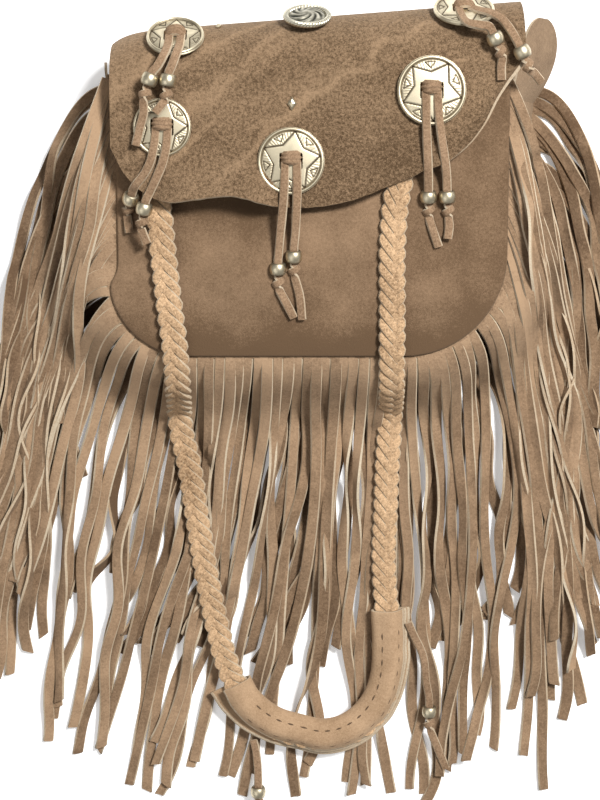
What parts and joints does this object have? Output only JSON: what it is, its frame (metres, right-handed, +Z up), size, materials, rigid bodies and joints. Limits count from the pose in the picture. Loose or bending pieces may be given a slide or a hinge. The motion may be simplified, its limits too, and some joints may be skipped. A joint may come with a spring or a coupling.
{
  "type": "fringed suede bag",
  "caption": "Small suede shoulder bag lying on its back: fold-over flap with silver conchos and beaded laces, long cut fringe, braided strap with a layered shoulder pad.",
  "frame": {"origin": "on the floor, under the middle of the bag and its fringe", "axes": "+Z up out of the front of the bag as it lies on its back, +Y towards the mouth and the fold of the flap, +X to the right seen from the front"},
  "size_m": [0.3953, 0.5044, 0.0772],
  "materials": {
    "panel_suede": "smooth greyish brown suede, short nap",
    "flap_suede": "coarse mottled brown suede with lighter crease streaks",
    "gusset_suede": "brown suede",
    "fringe_suede": "brown suede strands with pale cream cut edges",
    "braid_suede": "golden tan suede lace, pale raw edges",
    "lace_suede": "flat tan suede lace, pale raw edges",
    "pad_suede": "smooth tan suede, cream raw edges",
    "bright_silver": "warm polished silver plate",
    "antique_silver": "dark antiqued silver, bright on the rope edge"
  },
  "bodies": {
    "root": {"front_panel": "panel_suede", "back_panel_flap": "flap_suede", "gusset": "gusset_suede", "front_fringe": "fringe_suede", "back_fringe": "fringe_suede", "strap_braid": "braid_suede", "pad_cover": "pad_suede", "pad_lining": "pad_suede", "rope_concho": "antique_silver", "rope_concho_screw": "bright_silver", "diamond_stud_1": "bright_silver", "diamond_stud_2": "bright_silver", "pad_lace_left": "pad_suede", "pad_lace_right": "pad_suede", "pad_bead_left": "bright_silver", "pad_bead_right": "bright_silver", "concho_1": "bright_silver", "lace_1": "lace_suede", "bead_1_left": "bright_silver", "bead_1_right": "bright_silver", "concho_2": "bright_silver", "lace_2": "lace_suede", "bead_2_left": "bright_silver", "bead_2_right": "bright_silver", "concho_3": "bright_silver", "lace_3": "lace_suede", "bead_3_left": "bright_silver", "bead_3_right": "bright_silver", "concho_4": "bright_silver", "lace_4": "lace_suede", "bead_4_left": "bright_silver", "bead_4_right": "bright_silver", "concho_5": "bright_silver", "lace_5": "lace_suede", "bead_5_left": "bright_silver", "bead_5_right": "bright_silver"}
  },
  "joints": []
}
